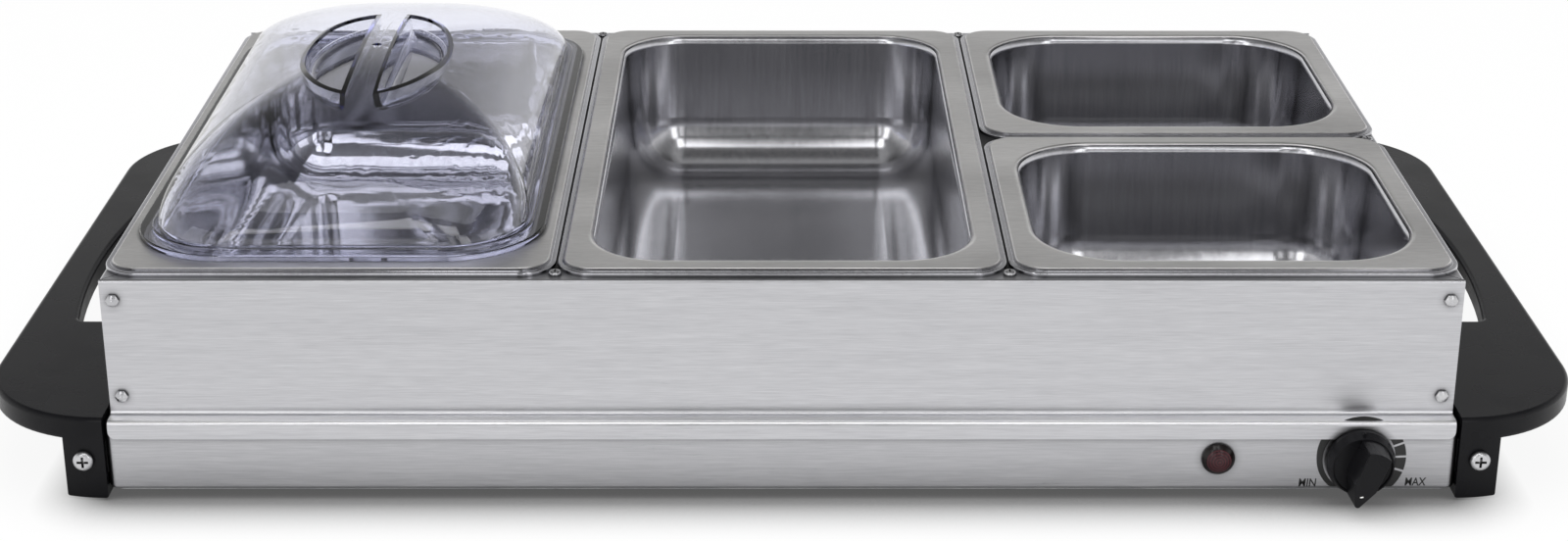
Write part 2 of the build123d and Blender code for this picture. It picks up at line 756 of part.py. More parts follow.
def make_end_panel():
    """End panel of the frame: top flange, face, and a bolted tab behind each long panel."""
    half_sheet = frame_sheet / 2
    face = frame_half_length - half_sheet
    top = frame_top - half_sheet
    line = FilletPolyline((frame_half_length - frame_flange, top), (face, top),
                          (face, base_top), radius=frame_bend - half_sheet)
    section = trace(line, frame_sheet)
    half_run = frame_half_width - frame_sheet
    panel = extrude(Plane.XZ * section, half_run, both=True)
    tab = block(frame_half_length - tab_width, frame_half_length - half_sheet, -half_run,
                -half_run + frame_sheet, base_top + tab_end_gap, frame_top - tab_end_gap)
    cut = end_mitre()
    panel = panel - [cut, mirror(cut, Plane.XZ)] + [tab, mirror(tab, Plane.XZ)]
    for x, height in bolt_places():
        hole = Pos(x, -half_run, height) * Rot(90, 0, 0) * rod(
            bolt_diameter + 2 * bolt_clearance, -2 * frame_sheet, frame_sheet)
        panel -= [hole, mirror(hole, Plane.XZ)]
    return panel


def cross_screw_hole():
    return Pos(frame_half_length - cross_screw_setback, 0, frame_top) * rod(
        bolt_diameter + 2 * bolt_clearance, -2 * frame_sheet, 0)


def frame_bolt(x, height):
    head = hexagon(bolt_head_flats, 0, bolt_head_height)
    crown = dome(bolt_head_flats * 0.62, bolt_head_height, bolt_head_height * 0.45)
    return Pos(x, -frame_half_width, height) * Rot(90, 0, 0) * (
        (head & crown) + rod(bolt_diameter, -bolt_shank, 0))


def make_frame_bolts():
    return [bolt for x, height in bolt_places() for bolt in four_corners(frame_bolt(x, height))]


def make_frame_nuts():
    seat = -frame_half_width + 2 * frame_sheet
    one = nut(nut_flats, nut_height, bolt_diameter)
    nuts = []
    for x, height in bolt_places():
        nuts += four_corners(Pos(x, seat, height) * Rot(90, 0, 0) * one)
    return nuts


# ---- Dividers ----

def channel(width, low_end, high_end):
    """Folded channel along X: flat top flush with the frame's top, legs down."""
    half_sheet = frame_sheet / 2
    half = width / 2 - half_sheet
    top = frame_top - half_sheet
    line = FilletPolyline((-half, frame_top - divider_leg), (-half, top), (half, top),
                          (half, frame_top - divider_leg), radius=frame_bend - half_sheet)
    bar = extrude(Plane.YZ * trace(line, frame_sheet), high_end - low_end)
    return Pos(low_end, 0, 0) * bar


def end_tab(bar_end, seat):
    """Tab lapped under a channel's end at x = bar_end, with its screw hole at x = seat."""
    half = divider_width / 2 - frame_bend
    tab = block(bar_end - divider_lap, seat + divider_tab_end, -half, half,
                frame_top - 2 * frame_sheet, frame_top - frame_sheet)
    return tab - Pos(seat, 0, frame_top) * rod(bolt_diameter + 2 * bolt_clearance,
                                               -2 * frame_sheet, 0)


def make_long_divider():
    """Channel between two long pans, laid along Y through x = 0."""
    end = frame_half_width - frame_flange - divider_end_gap
    seat = frame_half_width - divider_screw_setback
    bar = channel(divider_width, -end, end)
    tab = end_tab(end, seat)
    bar += [tab, mirror(tab, Plane.YZ)]
    return Rot(0, 0, 90) * bar


def cross_tab():
    """Tab of the short divider, welded under the top of the right-hand one."""
    return block(divider_x - divider_width / 4, divider_x + divider_width,
                 -divider_width / 2 + frame_bend, divider_width / 2 - frame_bend,
                 frame_top - 2 * frame_sheet, frame_top - frame_sheet)


def make_divider_right():
    bar = Pos(divider_x, 0, 0) * make_long_divider()
    slot = divider_width / 2 - frame_bend + bolt_clearance
    return bar - block(divider_x + divider_width / 2 - 2 * frame_sheet,
                       divider_x + divider_width / 2, -slot, slot,
                       frame_top - 2 * frame_sheet - bolt_clearance, frame_top - frame_sheet)


def make_divider_cross():
    """Short channel between the two short pans."""
    low = divider_x + divider_width / 2 + divider_end_gap
    high = frame_half_length - frame_flange - divider_end_gap
    seat = frame_half_length - cross_screw_setback
    return channel(divider_width, low, high) + cross_tab() + end_tab(high, seat)


def divider_screw_places():
    y = frame_half_width - divider_screw_setback
    ends = [(side * divider_x, face * y) for side in (-1, 1) for face in (-1, 1)]
    return ends + [(frame_half_length - cross_screw_setback, 0)]


def make_divider_screws():
    one = screw(divider_screw_head, divider_screw_head_height, bolt_diameter, bolt_shank,
                0.6 * divider_screw_head_height)
    return [Pos(x, y, frame_top) * one for x, y in divider_screw_places()]


def make_divider_nuts():
    one = nut(nut_flats, nut_height, bolt_diameter)
    return [Pos(x, y, frame_top - 2 * frame_sheet) * one for x, y in divider_screw_places()]


# ---- Pans ----

def pan_form(length, corner, grow):
    """Everything above the inside (grow = 0) or the outside (grow = sheet) of a pressed pan."""
    wall_x = pan_width / 2 - pan_flat_edge - pan_mouth_bend + grow
    wall_y = length / 2 - pan_flat_edge - pan_mouth_bend + grow
    deep = pan_depth - pan_sheet + grow
    hollow = extrude(RectangleRounded(2 * wall_x, 2 * wall_y, corner + grow), -deep,
                     taper=pan_draft)
    hollow = fillet(edges_at(hollow, -deep), pan_bottom_bend + grow)
    slab = plate(pan_width, length, pan_rim_corner, -grow, pan_depth)
    form = hollow + slab
    bend = [edge for edge in edges_at(form, -grow) if edge.bounding_box().max.Y < length / 2]
    return fillet(bend, pan_mouth_bend - grow)


def pan_outline(length, inset, low, high, taper=0):
    outline = RectangleRounded(pan_width - 2 * inset, length - 2 * inset,
                               pan_rim_corner - inset)
    return Pos(0, 0, low) * extrude(outline, high - low, taper=taper)


def make_pan(length, corner):
    """Pressed steel pan: bowl, flat rim and a stepped-down lip, flat of the rim at z = 0."""
    seam = pan_flat_edge / 2
    bowl = pan_form(length, corner, pan_sheet) - pan_form(length, corner, 0)
    bowl &= pan_outline(length, seam, -pan_depth - 1, 1)
    slope = 45
    ledge = -pan_lip_drop
    lip = pan_outline(length, 0, -pan_rim_height, ledge)
    lip = fillet(edges_at(lip, ledge), 0.6 * pan_sheet)
    lip += pan_outline(length, pan_lip_ledge, ledge, 0, slope)
    under = pan_outline(length, pan_sheet, -pan_rim_height, ledge - pan_sheet)
    under += pan_outline(length, pan_lip_ledge + 0.4 * pan_sheet, ledge - pan_sheet,
                         -pan_sheet, slope)
    lip -= under
    lip -= pan_outline(length, seam, -pan_rim_height, 1)
    return bowl + lip


# ---- Lid ----

def lid_dome(grow):
    """Pillow-shaped dome: every level is a rounded rectangle whose size follows an ellipse."""
    foot_x = lid_width / 2 - lid_band - lid_dome_inset + grow
    foot_y = lid_length / 2 - lid_band - lid_dome_inset + grow
    foot = lid_flange + lid_step
    rise = lid_height - foot + grow
    corner = lid_dome_corner + grow
    levels = []
    for part_way in (0, 0.15, 0.3, 0.45, 0.6, 0.72, 0.83, 0.91, 0.96, 0.985, 0.997, 0.9999):
        share = sqrt(1 - part_way ** 2)
        rounder = corner + (lid_crown_roundness * foot_x - corner) * part_way
        outline = RectangleRounded(2 * foot_x * share, 2 * foot_y * share, rounder * share)
        levels.append(Pos(0, 0, foot + rise * part_way) * outline)
    crown = loft(levels)
    skirt = plate(foot_x, foot_y, corner, -lid_rib_depth, foot)
    return crown + skirt


def finger_pockets(grow):
    """Half an ellipse each side of the grip bar, sunk from the crown to a flat floor."""
    floor = lid_height - pocket_depth - grow
    top = lid_height + lid_wall
    ellipse = Ellipse(pocket_half_width + grow, pocket_half_length + grow)
    bar = grip_bar_width / 2 - grow
    half = ellipse & (Pos(bar + pocket_half_width, 0)
                      * Rectangle(2 * pocket_half_width, 3 * pocket_half_length))
    sunk = Pos(0, 0, top) * extrude(half, floor - top, taper=pocket_draft)
    sunk = fillet(edges_at(sunk, floor), pocket_bend + grow)
    return sunk + mirror(sunk, Plane.YZ)


def make_lid():
    """Clear cover: flat flange with a raised step, dome with two finger pockets, steam vent."""
    flange = plate(lid_width / 2, lid_length / 2, lid_corner, 0, lid_flange)
    flange = fillet(edges_at(flange, lid_flange), lid_flange / 3)
    step = plate(lid_width / 2 - lid_band, lid_length / 2 - lid_band, lid_corner - lid_band,
                 lid_flange, lid_flange + lid_step)
    step = fillet(edges_at(step, lid_flange + lid_step), lid_step / 2)
    rib_x = pan_width / 2 - pan_flat_edge - pan_mouth_bend - lid_rib_gap
    rib_y = lid_length / 2 - lid_band - lid_dome_inset
    rib = plate(rib_x, rib_y, lid_dome_corner, -lid_rib_depth, 0)
    body = flange + step + rib + (lid_dome(0) & plate(lid_width, lid_length, lid_corner,
                                                      lid_flange, lid_height + 1))
    body -= finger_pockets(0)
    body -= lid_dome(-lid_wall) - finger_pockets(lid_wall)
    return body - rod(vent_diameter, 0, lid_height + 1)


# ---- Assembly ----

def as_solids(shape):
    pieces = shape if isinstance(shape, list) else [shape]
    return [solid for piece in pieces for solid in piece.solids()]


def build():
    long_pan = make_pan(long_pan_length, long_pan_corner)
    short_pan = make_pan(short_pan_length, short_pan_corner)
    short_y = (short_pan_length + short_pan_gap) / 2
    handle = make_handle()
    front_panel = make_front_panel()
    end_panel = make_end_panel()
    return {
        "base_housing": make_base_housing(),
        "bottom_cover": make_bottom_cover(),
        "cover_screws": make_cover_screws(),
        "warming_plate": make_warming_plate(),
        "heat_spreader": make_heat_spreader(),
        "heating_element": make_heating_element(),
        "element_clamps": make_element_clamps(),
        "insulation_board": make_insulation_board(),
        "thermal_fuse": make_thermal_fuse(),
        "thermostat": make_thermostat(),
        "thermostat_nut": make_thermostat_nut(),
        "thermostat_shaft": make_thermostat_shaft(),
        "control_knob": make_control_knob(),
        "indicator_lamp": make_indicator_lamp(),
        "lamp_lens": make_lamp_lens(),
        "lamp_clip": make_lamp_clip(),
        "cord_bushing": make_cord_bushing(),
        "terminal_block": make_terminal_block(),
        "handle_right": handle,
        "handle_left": mirror(handle, Plane.YZ),
        "handle_brackets": four_corners(handle_bracket()),
        "handle_screws": four_corners(handle_screw()),
        "foot_pads": four_corners(foot_pad()),
        "frame_front_panel": front_panel,
        "frame_rear_panel": mirror(front_panel, Plane.XZ),
        "frame_right_panel": end_panel - cross_screw_hole(),
        "frame_left_panel": mirror(end_panel, Plane.YZ),
        "frame_bolts": make_frame_bolts(),
        "frame_nuts": make_frame_nuts(),
        "divider_left": Pos(-divider_x, 0, 0) * make_long_divider(),
        "divider_right": make_divider_right(),
        "divider_cross": make_divider_cross(),
        "divider_screws": make_divider_screws(),
        "divider_nuts": make_divider_nuts(),
        "pan_left": Pos(-pan_pitch, 0, pan_flat) * long_pan,
        "pan_middle": Pos(0, 0, pan_flat) * long_pan,
        "pan_right_front": Pos(pan_pitch, -short_y, pan_flat) * short_pan,
        "pan_right_rear": Pos(pan_pitch, short_y, pan_flat) * short_pan,
        "lid": Pos(-pan_pitch, 0, pan_flat) * make_lid(),
    }


# The origin is on the table, under the middle of the whole appliance's outline.
front_reach = base_half_width + knob_height
rear_reach = handle_half_width + handle_screw_head_height
origin_shift = Pos(0, (front_reach - rear_reach) / 2, 0)

os.makedirs("parts", exist_ok=True)
for name, shape in build().items():
    solids = [origin_shift * solid for solid in as_solids(shape)]
    export_step(Compound(solids), f"parts/{name}.step")
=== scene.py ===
import bpy
import bmesh
from math import asin, cos, degrees, pi, radians, sin
from mathutils import Matrix, Vector


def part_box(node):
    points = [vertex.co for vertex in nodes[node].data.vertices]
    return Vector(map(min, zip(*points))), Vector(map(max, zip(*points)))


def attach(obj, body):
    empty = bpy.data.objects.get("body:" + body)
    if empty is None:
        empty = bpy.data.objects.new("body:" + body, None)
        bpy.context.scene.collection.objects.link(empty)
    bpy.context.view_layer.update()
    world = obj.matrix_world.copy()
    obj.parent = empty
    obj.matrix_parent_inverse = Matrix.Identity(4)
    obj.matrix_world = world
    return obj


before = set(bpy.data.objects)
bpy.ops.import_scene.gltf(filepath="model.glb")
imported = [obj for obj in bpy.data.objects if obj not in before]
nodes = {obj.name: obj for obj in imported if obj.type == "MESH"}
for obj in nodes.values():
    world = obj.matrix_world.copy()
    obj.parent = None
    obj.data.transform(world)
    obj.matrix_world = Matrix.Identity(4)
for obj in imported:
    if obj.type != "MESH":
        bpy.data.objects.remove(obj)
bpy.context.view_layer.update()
print("frame loaded:", len(nodes), "nodes")


cameraView = {
    "place": (-0.0035, -1.1264, 0.4823),
    "pitch": 21.76,       # degrees below level
    "yaw": 0.24,          # degrees to the right of +Y
    "roll": 0.10,
    "focalPixels": 2761,  # in an image 1600 pixels wide
    "imageWidth": 1600,
    "sensor": 36.0,
    "clip": (0.05, 40.0),
}


def placeCamera(view):
    data = bpy.data.cameras.new("productCamera")
    data.sensor_width = view["sensor"]
    data.lens = view["focalPixels"] / view["imageWidth"] * view["sensor"]
    data.clip_start, data.clip_end = view["clip"]
    camera = bpy.data.objects.new("productCamera", data)
    bpy.context.scene.collection.objects.link(camera)
    turn = Matrix.Rotation(radians(-view["yaw"]), 4, "Z")
    turn = turn @ Matrix.Rotation(radians(90 - view["pitch"]), 4, "X")
    turn = turn @ Matrix.Rotation(radians(view["roll"]), 4, "Z")
    camera.matrix_world = Matrix.Translation(view["place"]) @ turn
    bpy.context.scene.camera = camera


placeCamera(cameraView)
bpy.context.scene.view_settings.view_transform = "Standard"
print("camera placed")


# small builders for node trees: each takes sockets or fixed values and gives a socket back

def addNode(tree, kind, **settings):
    node = tree.nodes.new(kind)
    for key, value in settings.items():
        setattr(node, key, value)
    return node


def feed(tree, source, target):
    # links a socket, or sets a fixed value
    if isinstance(source, bpy.types.NodeSocket):
        tree.links.new(source, target)
    else:
        target.default_value = source


def mathNode(tree, operation, *values):
    node = addNode(tree, "ShaderNodeMath", operation=operation)
    for slot, value in enumerate(values):
        feed(tree, value, node.inputs[slot])
    return node.outputs[0]


def weighNodes(tree, *pairs):
    # sum of values, each times its weight
    parts = [mathNode(tree, "MULTIPLY", value, weight) for value, weight in pairs]
    total = parts[0]
    for part in parts[1:]:
        total = mathNode(tree, "ADD", total, part)
    return total


def rampNode(tree, source, stops):
    # stops are (position, colour or grey) pairs
    node = addNode(tree, "ShaderNodeValToRGB")
    ramp = node.color_ramp
    while len(ramp.elements) < len(stops):
        ramp.elements.new(0.5)
    for element, (position, colour) in zip(ramp.elements, stops):
        element.position = position
        shade = colour if hasattr(colour, "__len__") else (colour, colour, colour)
        element.color = (*shade, 1)
    feed(tree, source, node.inputs["Fac"])
    return node.outputs["Color"]


def spanNode(tree, source, low, high, newLow=0.0, newHigh=1.0):
    # carries a value from one span to another and holds it at the ends
    node = addNode(tree, "ShaderNodeMapRange")
    labels = ("Value", "From Min", "From Max", "To Min", "To Max")
    for label, value in zip(labels, (source, low, high, newLow, newHigh)):
        feed(tree, value, node.inputs[label])
    return node.outputs["Result"]


def mixColours(tree, first, second, factor=1.0, blend="MIX"):
    node = addNode(tree, "ShaderNodeMix", data_type="RGBA", blend_type=blend)
    for label, value in (("Factor", factor), ("A", first), ("B", second)):
        feed(tree, value, node.inputs[label])
    return node.outputs["Result"]


def noiseNode(tree, place, scale, detail=2.0, distortion=0.0):
    node = addNode(tree, "ShaderNodeTexNoise")
    labels = ("Vector", "Scale", "Detail", "Distortion")
    for label, value in zip(labels, (place, scale, detail, distortion)):
        feed(tree, value, node.inputs[label])
    return node.outputs["Fac"]


def surfacePlace(tree, space="Object"):
    return addNode(tree, "ShaderNodeTexCoord").outputs[space]


def surfaceAxes(tree, space="Object"):
    axes = addNode(tree, "ShaderNodeSeparateXYZ")
    feed(tree, surfacePlace(tree, space), axes.inputs[0])
    return axes.outputs


def newGroup(name, inputs, outputs):
    # inputs are (label, kind, value), outputs are labels of plain values
    group = bpy.data.node_groups.new(name, "ShaderNodeTree")
    for label, kind, value in inputs:
        socket = group.interface.new_socket(name=label, in_out="INPUT", socket_type=kind)
        socket.default_value = value
    for label in outputs:
        group.interface.new_socket(name=label, in_out="OUTPUT", socket_type="NodeSocketFloat")
    entry = addNode(group, "NodeGroupInput").outputs
    leave = addNode(group, "NodeGroupOutput").inputs
    return group, entry, leave


grainLook = {
    "layers": [(1.0, 0.5), (0.37, 0.3), (0.12, 0.2)],   # fineness and weight of each scratch width
    "shadeSpan": (0.35, 0.65),
}


def buildBrushedGrain(look):
    # scratch lines of three widths, drawn out along one direction
    group, entry, leave = newGroup(
        "brushedGrain",
        [("Squeeze", "NodeSocketVector", (1, 30, 30)), ("Fineness", "NodeSocketFloat", 60.0)],
        ["Height", "Shade"])
    squeezed = addNode(group, "ShaderNodeVectorMath", operation="MULTIPLY")
    feed(group, surfacePlace(group), squeezed.inputs[0])
    feed(group, entry["Squeeze"], squeezed.inputs[1])
    layers = []
    for fineness, weight in look["layers"]:
        scale = mathNode(group, "MULTIPLY", entry["Fineness"], fineness)
        layers.append((noiseNode(group, squeezed.outputs[0], scale), weight))
    total = weighNodes(group, *layers)
    feed(group, total, leave["Height"])
    feed(group, spanNode(group, total, *look["shadeSpan"]), leave["Shade"])
    return group


marksLook = {"detail": 5.0, "distortion": 0.6, "span": (0.38, 0.66)}


def buildHandlingMarks(look):
    # soft uneven patches left by wiping and handling
    group, entry, leave = newGroup(
        "handlingMarks", [("Scale", "NodeSocketFloat", 14.0)], ["Mask"])
    patches = noiseNode(group, surfacePlace(group), entry["Scale"], look["detail"], look["distortion"])
    feed(group, spanNode(group, patches, *look["span"]), leave["Mask"])
    return group


skinLook = {"cloudScale": 45.0, "cloudSpan": (0.3, 0.7)}


def buildMouldedSkin(look):
    # fine pebble of a moulded surface, and the broad clouds in its tone
    group, entry, leave = newGroup(
        "mouldedSkin", [("Scale", "NodeSocketFloat", 1400.0)], ["Height", "Shade"])
    place = surfacePlace(group)
    pebble = addNode(group, "ShaderNodeTexVoronoi")
    feed(group, place, pebble.inputs["Vector"])
    feed(group, entry["Scale"], pebble.inputs["Scale"])
    feed(group, pebble.outputs["Distance"], leave["Height"])
    cloud = noiseNode(group, place, look["cloudScale"])
    feed(group, spanNode(group, cloud, *look["cloudSpan"]), leave["Shade"])
    return group


def buildPressedWaves():
    # long shallow waves that pressing leaves in flat sheet
    group, entry, leave = newGroup(
        "pressedWaves", [("Scale", "NodeSocketFloat", 10.0)], ["Height"])
    feed(group, noiseNode(group, surfacePlace(group), entry["Scale"], detail=1.0), leave["Height"])
    return group


def buildHeightRise():
    # mask that grows from one height above the table to another
    group, entry, leave = newGroup(
        "heightRise",
        [("Start", "NodeSocketFloat", 0.0), ("Full", "NodeSocketFloat", 0.1)], ["Mask"])
    height = surfaceAxes(group)["Z"]
    feed(group, spanNode(group, height, entry["Start"], entry["Full"]), leave["Mask"])
    return group


def buildPaintedCreaseShade():
    # painted shade: colour darkened in narrow gaps and inner corners, the more the less open each point is
    group, entry, leave = newGroup(
        "paintedCreaseShade",
        [("Reach", "NodeSocketFloat", 0.003), ("Depth", "NodeSocketFloat", 1.6)], ["Shade"])
    opening = addNode(group, "ShaderNodeAmbientOcclusion", samples=8)
    feed(group, entry["Reach"], opening.inputs["Distance"])
    feed(group, mathNode(group, "POWER", opening.outputs["AO"], entry["Depth"]), leave["Shade"])
    return group


brushedGrain = buildBrushedGrain(grainLook)
handlingMarks = buildHandlingMarks(marksLook)
mouldedSkin = buildMouldedSkin(skinLook)
pressedWaves = buildPressedWaves()
heightRise = buildHeightRise()
paintedCreaseShade = buildPaintedCreaseShade()
print("shared effects built")


def useGroup(tree, group, **values):
    node = addNode(tree, "ShaderNodeGroup", node_tree=group)
    for label, value in values.items():
        node.inputs[label].default_value = value
    return node.outputs


def newMaterial(name, colour, metallic, roughness, **plain):
    # plain settings are labels of the shader's sockets, with _ for a space
    material = bpy.data.materials.new(name)
    material.use_nodes = True
    tree = material.node_tree
    shader = tree.nodes["Principled BSDF"]
    shader.inputs["Base Color"].default_value = (*colour, 1)
    shader.inputs["Metallic"].default_value = metallic
    shader.inputs["Roughness"].default_value = roughness
    for label, value in plain.items():
        shader.inputs[label.replace("_", " ")].default_value = value
    return material, tree, shader


def paintShadeInCreases(tree, colour, crease):
    # crease holds the reach of the shade and its depth
    reach, depth = crease
    # painted shade multiplied into the colour in gaps and inner corners
    shade = useGroup(tree, paintedCreaseShade, Reach=reach, Depth=depth)["Shade"]
    return mixColours(tree, colour, shade, blend="MULTIPLY")


def varyColour(tree, shader, mask, dark, light, crease=None):
    colour = rampNode(tree, mask, [(0.0, dark), (1.0, light)])
    if crease:
        colour = paintShadeInCreases(tree, colour, crease)
    feed(tree, colour, shader.inputs["Base Color"])


def varyRoughness(tree, shader, mask, low, high):
    feed(tree, spanNode(tree, mask, 0, 1, low, high), shader.inputs["Roughness"])


def bumpFrom(tree, shader, height, depth, strength=1.0):
    bump = addNode(tree, "ShaderNodeBump")
    bump.inputs["Strength"].default_value = strength
    bump.inputs["Distance"].default_value = depth
    feed(tree, height, bump.inputs["Height"])
    feed(tree, bump.outputs["Normal"], shader.inputs["Normal"])


brushedLook = {
    "dark": (0.48, 0.48, 0.50), "light": (0.60, 0.60, 0.62),
    "smooth": 0.27, "dull": 0.40,
    "fineness": 90.0, "depth": 0.000012,
    "marksScale": 9.0, "marksShare": 0.3,    # share of the marks in the roughness
    # reach and depth of the painted shade in gaps and inner corners
    "crease": (0.0035, 1.6),
    "ledge": (0.0336, 0.0358), "ledgeFade": 0.0003,    # heights of the ledge, which gets a painted highlight
    "ledgeHighlightGain": 1.9,
}

# direction of the grain, and tone, of each brushed piece; the base's lower tone is painted shade
brushedSheets = {
    "longGrain": {"squeeze": (1.0, 30.0, 30.0), "tone": 1.0},
    "baseGrain": {"squeeze": (1.0, 30.0, 30.0), "tone": 0.86},
    "crossGrain": {"squeeze": (30.0, 1.0, 30.0), "tone": 1.0},
}


def brushedSheet(name, squeeze, tone, look=brushedLook):
    dark, light = ([tone * part for part in look[shade]] for shade in ("dark", "light"))
    material, tree, shader = newMaterial(name, dark, 1.0, look["smooth"])
    grain = useGroup(tree, brushedGrain, Squeeze=squeeze, Fineness=look["fineness"])
    marks = useGroup(tree, handlingMarks, Scale=look["marksScale"])
    low, high = look["ledge"]
    above = useGroup(tree, heightRise, Start=low, Full=low + look["ledgeFade"])["Mask"]
    below = useGroup(tree, heightRise, Start=high + look["ledgeFade"], Full=high)["Mask"]
    # painted highlight: the colour of the ledge band is raised 1.9 times
    paintedLedgeHighlight = spanNode(tree, mathNode(tree, "MULTIPLY", above, below), 0, 1, 1.0, look["ledgeHighlightGain"])
    colour = rampNode(tree, grain["Shade"], [(0.0, dark), (1.0, light)])
    colour = mixColours(tree, colour, paintedLedgeHighlight, blend="MULTIPLY")
    feed(tree, paintShadeInCreases(tree, colour, look["crease"]), shader.inputs["Base Color"])
    mixed = weighNodes(tree, (grain["Shade"], 1 - look["marksShare"]), (marks["Mask"], look["marksShare"]))
    varyRoughness(tree, shader, mixed, look["smooth"], look["dull"])
    bumpFrom(tree, shader, grain["Height"], look["depth"])
    return material


panLook = {
    "bowlDark": (0.45, 0.45, 0.475), "bowlLight": (0.58, 0.58, 0.605),
    "rimDark": (0.66, 0.65, 0.64), "rimLight": (0.86, 0.85, 0.84),
    "rimRoughness": 0.37, "wallRoughness": 0.17, "floorRoughness": 0.14, "streakRoughness": 0.04,
    "rimSpan": (0.0930, 0.0938),     # heights over which the satin rim, with its painted lighter tone, takes over
    "floorSpan": (0.036, 0.062),     # heights between the smooth floor and the drawn walls
    "streaks": {"Squeeze": (30, 30, 1.0), "Fineness": 22.0},     # down the walls
    "brush": {"Squeeze": (3, 14, 30), "Fineness": 70.0},         # on the rim
    "brushDepth": 0.000012,
    "marksScale": 11.0, "marksShare": 0.5,                       # share in the tone
    "waveScale": 9.0, "rimWave": 0.0042, "bowlWave": 0.00025,
    # reach and depth of the painted shade in gaps and inner corners
    "crease": (0.0018, 1.6),
}

# the pan that stands under the lid is more polished
coveredLook = {**panLook,
               "bowlDark": (0.43, 0.43, 0.46), "bowlLight": (0.60, 0.60, 0.63),
               "wallRoughness": 0.07, "floorRoughness": 0.05}


def pressedPan(name, look):
    # satin rim over a smoother drawn bowl with faint streaks down its walls; the rim's lighter tone is
    # painted light
    material, tree, shader = newMaterial(name, look["bowlDark"], 1.0, look["wallRoughness"])
    rim = useGroup(tree, heightRise, Start=look["rimSpan"][0], Full=look["rimSpan"][1])["Mask"]
    wall = useGroup(tree, heightRise, Start=look["floorSpan"][0], Full=look["floorSpan"][1])["Mask"]
    streaks = useGroup(tree, brushedGrain, **look["streaks"])
    brush = useGroup(tree, brushedGrain, **look["brush"])
    marks = useGroup(tree, handlingMarks, Scale=look["marksScale"])
    waves = useGroup(tree, pressedWaves, Scale=look["waveScale"])
    wiped = (marks["Mask"], look["marksShare"])
    drawn = weighNodes(tree, (streaks["Shade"], 1 - look["marksShare"]), wiped)
    satin = weighNodes(tree, (brush["Shade"], 1 - look["marksShare"]), wiped)
    bowlColour = rampNode(tree, drawn, [(0.0, look["bowlDark"]), (1.0, look["bowlLight"])])
    # painted light: the rim gets a lighter tone than the bowl of the same steel
    rimColour = rampNode(tree, satin, [(0.0, look["rimDark"]), (1.0, look["rimLight"])])
    colour = mixColours(tree, bowlColour, rimColour, rim)
    feed(tree, paintShadeInCreases(tree, colour, look["crease"]), shader.inputs["Base Color"])
    bowlRough = spanNode(tree, wall, 0, 1, look["floorRoughness"], look["wallRoughness"])
    rough = weighNodes(tree, (bowlRough, 1.0), (rim, look["rimRoughness"] - look["wallRoughness"]),
                       (drawn, look["streakRoughness"]))
    feed(tree, rough, shader.inputs["Roughness"])
    wave = spanNode(tree, rim, 0, 1, look["bowlWave"], look["rimWave"])
    height = weighNodes(tree, (waves["Height"], wave),
                        (mathNode(tree, "MULTIPLY", brush["Height"], rim), look["brushDepth"]))
    bumpFrom(tree, shader, height, 1.0)
    return material


blackLook = {
    "dark": (0.005, 0.005, 0.006), "light": (0.008, 0.008, 0.009),
    "smooth": 0.24, "dull": 0.34, "specular": 0.13,
    "grainScale": 1400.0, "grainDepth": 0.00002, "grainStrength": 0.35,
}


def blackMoulding(name, look):
    material, tree, shader = newMaterial(
        name, look["dark"], 0.0, look["dull"], Specular_IOR_Level=look["specular"])
    skin = useGroup(tree, mouldedSkin, Scale=look["grainScale"])
    varyColour(tree, shader, skin["Shade"], look["dark"], look["light"])
    varyRoughness(tree, shader, skin["Shade"], look["smooth"], look["dull"])
    bumpFrom(tree, shader, skin["Height"], look["grainDepth"], look["grainStrength"])
    return material


clearLook = {
    "tint": (0.97, 0.975, 1.0), "index": 1.49,
    "smooth": 0.0, "dull": 0.006, "marksScale": 16.0,
    "depthColour": (0.58, 0.60, 0.86), "density": 75.0,    # tint that grows with the path inside
}


def clearSheet(name, look):
    material, tree, shader = newMaterial(
        name, look["tint"], 0.0, look["smooth"], Transmission_Weight=1.0, IOR=look["index"])
    marks = useGroup(tree, handlingMarks, Scale=look["marksScale"])
    varyRoughness(tree, shader, marks["Mask"], look["smooth"], look["dull"])
    depth = addNode(tree, "ShaderNodeVolumeAbsorption")
    depth.inputs["Color"].default_value = (*look["depthColour"], 1)
    depth.inputs["Density"].default_value = look["density"]
    feed(tree, depth.outputs["Volume"], tree.nodes["Material Output"].inputs["Volume"])
    return material


lensLook = {
    "axis": (0.1719, 0.0181),    # x and height of the lens
    "rings": 0.0011,             # pitch of the moulded rings
    "ringField": 0.0047,         # radius inside which the rings lie
    "ringFade": 0.0003, "ringDepth": 0.00012, "ringStrength": 0.8,
    "rim": (0.004, 0.002, 0.002), "dark": (0.014, 0.002, 0.004), "light": (0.055, 0.008, 0.012),
    "fieldShade": 0.35, "ringShade": 0.35, "cloudShade": 0.4,    # steps from rim to light
    "cloudScale": 900.0,
    "roughness": 0.28, "specular": 0.25, "coat": 0.2, "coatRoughness": 0.10,
}


